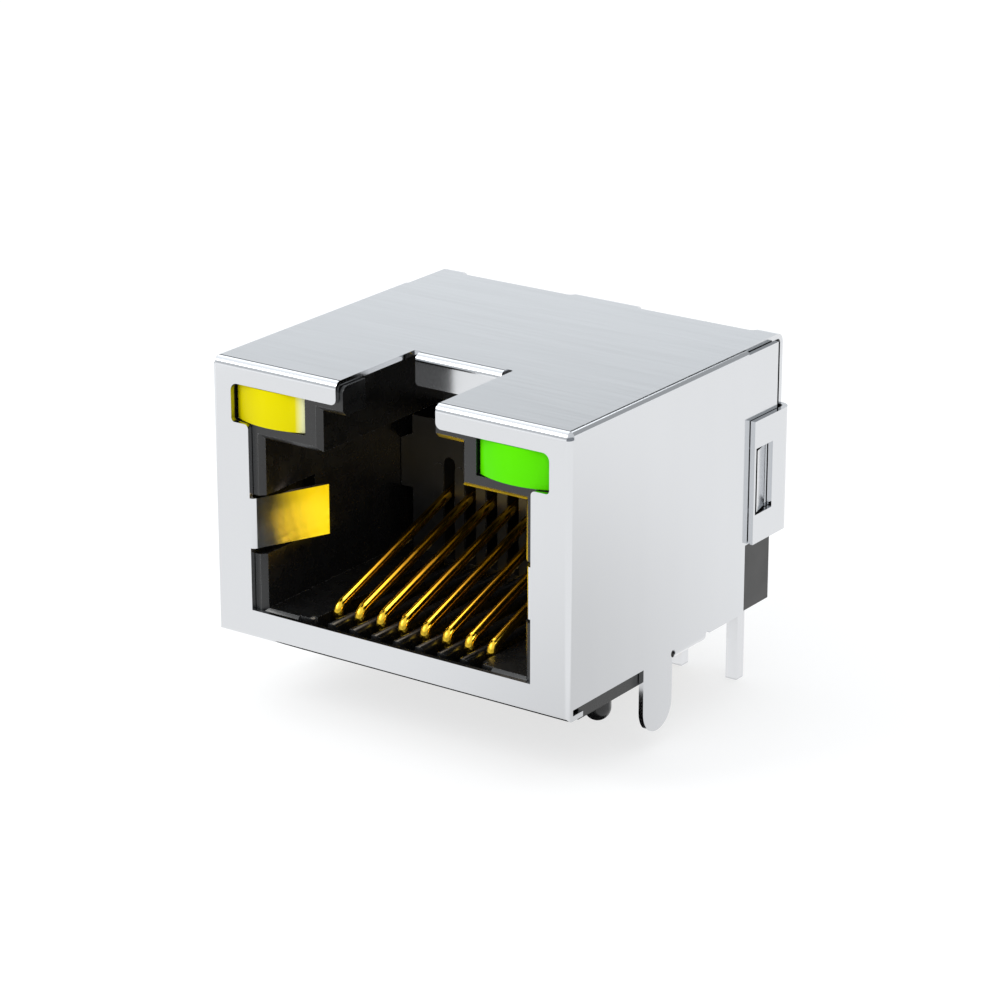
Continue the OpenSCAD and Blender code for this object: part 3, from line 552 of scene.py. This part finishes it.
# The cards of light by their left, right, front and rear edge and their height, in millimetres
# from the middle, the front and the board, with the way they face, their radiance and colour
GLOW_CARDS = [
    (-5, 5, 1.6, 2.0, 3.2, FACING_UP, 0.35, AMBER),
    (-5, 5, 2.0, 2.4, 3.2, FACING_UP, 0.8, AMBER),
    (-5, 5, 2.4, 2.8, 3.2, FACING_UP, 1.15, AMBER),
    (-5, 5, 2.8, 5.4, 3.2, FACING_UP, 1.36, AMBER),
    (-4.4, 0.4, 3.0, 4.4, 8.1, FACING_DOWN, 5.0, (1, 0.93, 0.8)),
    (-4.4, 0.4, 4.4, 5.2, 8.1, FACING_DOWN, 2.6, (1, 0.85, 0.6)),
    (-4.4, 0.4, 5.2, 6.0, 8.1, FACING_DOWN, 1.2, (1, 0.75, 0.6)),
    (-4.4, 0.4, 6.0, 6.8, 8.1, FACING_DOWN, 0.5, (1, 0.7, 0.6)),
]


def area_light(name, place, target, size, watts, color):
    """A soft rectangular light at a place, turned towards a target."""
    data = bpy.data.lights.new(name, "AREA")
    data.shape = "RECTANGLE"
    data.size, data.size_y = size
    data.energy = watts
    data.color = color
    light = bpy.data.objects.new(name, data)
    scene.collection.objects.link(light)
    light.location = place
    aim = target - light.location
    light.rotation_euler = aim.to_track_quat("-Z", "Y").to_euler()
    light.visible_camera = False
    return light


low, high = cad_box
area_light("key", KEY_PLACE, (low + high) / 2, KEY_SIZE, KEY_WATTS, KEY_COLOR)
for number, (left, right, front, rear, height, facing, radiance, color) in enumerate(GLOW_CARDS):
    place = ((left + right) / 2 * MM, (front + rear) / 2 * MM + low.y, height * MM)
    target = Vector((place[0], place[1], facing))
    size = ((right - left) * MM, (rear - front) * MM)
    watts = math.pi * size[0] * size[1] * radiance
    glow = area_light(f"glow_{number}", place, target, size, watts, color)
    glow.visible_diffuse = facing == FACING_DOWN

# World: a soft studio in four quarters. Each gives its light by the upward part of the direction,
# and a dark gap above the panel behind at the left draws the dark line along the shell's folds.
WORLD_STRENGTH = 1.7
WORLD_TINT = (0.945, 0.975, 1.0)

# The quarters by height and radiance, and the spans of direction over which they meet
BEHIND_LEFT = [
    (0.0, 1.08), (0.27, 1.0), (0.30, 0.90), (0.34, 0.72), (0.37, 0.1), (0.56, 0.06), (0.6, 1.95),
    (1.0, 1.0),
]
BEHIND_RIGHT = [(0.0, 0.45), (0.62, 0.45), (0.68, 1.2), (1.0, 1.0)]
FRONT_LEFT = [(0.0, 0.7), (0.35, 0.7), (0.42, 1.6), (1.0, 1.0)]
FRONT_RIGHT = [(0.0, 0.5), (0.35, 0.5), (0.42, 0.9), (1.0, 1.0)]
LEFT_TO_RIGHT_BEHIND = (-0.05, 0.15)
LEFT_TO_RIGHT_FRONT = (-0.15, 0.25)
FRONT_TO_BEHIND = (-0.05, 0.15)

world = bpy.data.worlds.new("studio")
scene.world = world
world.use_nodes = True
tree = world.node_tree
background = tree.nodes["Background"]
background.inputs["Strength"].default_value = WORLD_STRENGTH
place = tree.nodes.new("ShaderNodeTexCoord")
axes = tree.nodes.new("ShaderNodeSeparateXYZ")
tree.links.new(place.outputs["Generated"], axes.inputs["Vector"])


def quarter(stops):
    """The light of one quarter of the studio, from its radiance at each height."""
    colors = [
        (height, [share * radiance / WORLD_STRENGTH for share in WORLD_TINT] + [1])
        for height, radiance in stops
    ]
    ramp = add_ramp(tree, colors)
    tree.links.new(axes.outputs["Z"], ramp.inputs["Fac"])
    return ramp.outputs["Color"]


def fade_over(axis, span, first, second):
    """Goes over from one light to another along a span of an axis."""
    start, end = span
    fade = tree.nodes.new("ShaderNodeMapRange")
    fade.interpolation_type = "SMOOTHSTEP"
    fade.inputs["From Min"].default_value = start
    fade.inputs["From Max"].default_value = end
    mix = tree.nodes.new("ShaderNodeMix")
    mix.data_type = "RGBA"
    tree.links.new(axes.outputs[axis], fade.inputs["Value"])
    tree.links.new(fade.outputs["Result"], mix.inputs["Factor"])
    tree.links.new(first, mix.inputs["A"])
    tree.links.new(second, mix.inputs["B"])
    return mix.outputs["Result"]


behind = fade_over("X", LEFT_TO_RIGHT_BEHIND, quarter(BEHIND_LEFT), quarter(BEHIND_RIGHT))
front = fade_over("X", LEFT_TO_RIGHT_FRONT, quarter(FRONT_LEFT), quarter(FRONT_RIGHT))
studio = fade_over("Y", FRONT_TO_BEHIND, front, behind)
tree.links.new(studio, background.inputs["Color"])
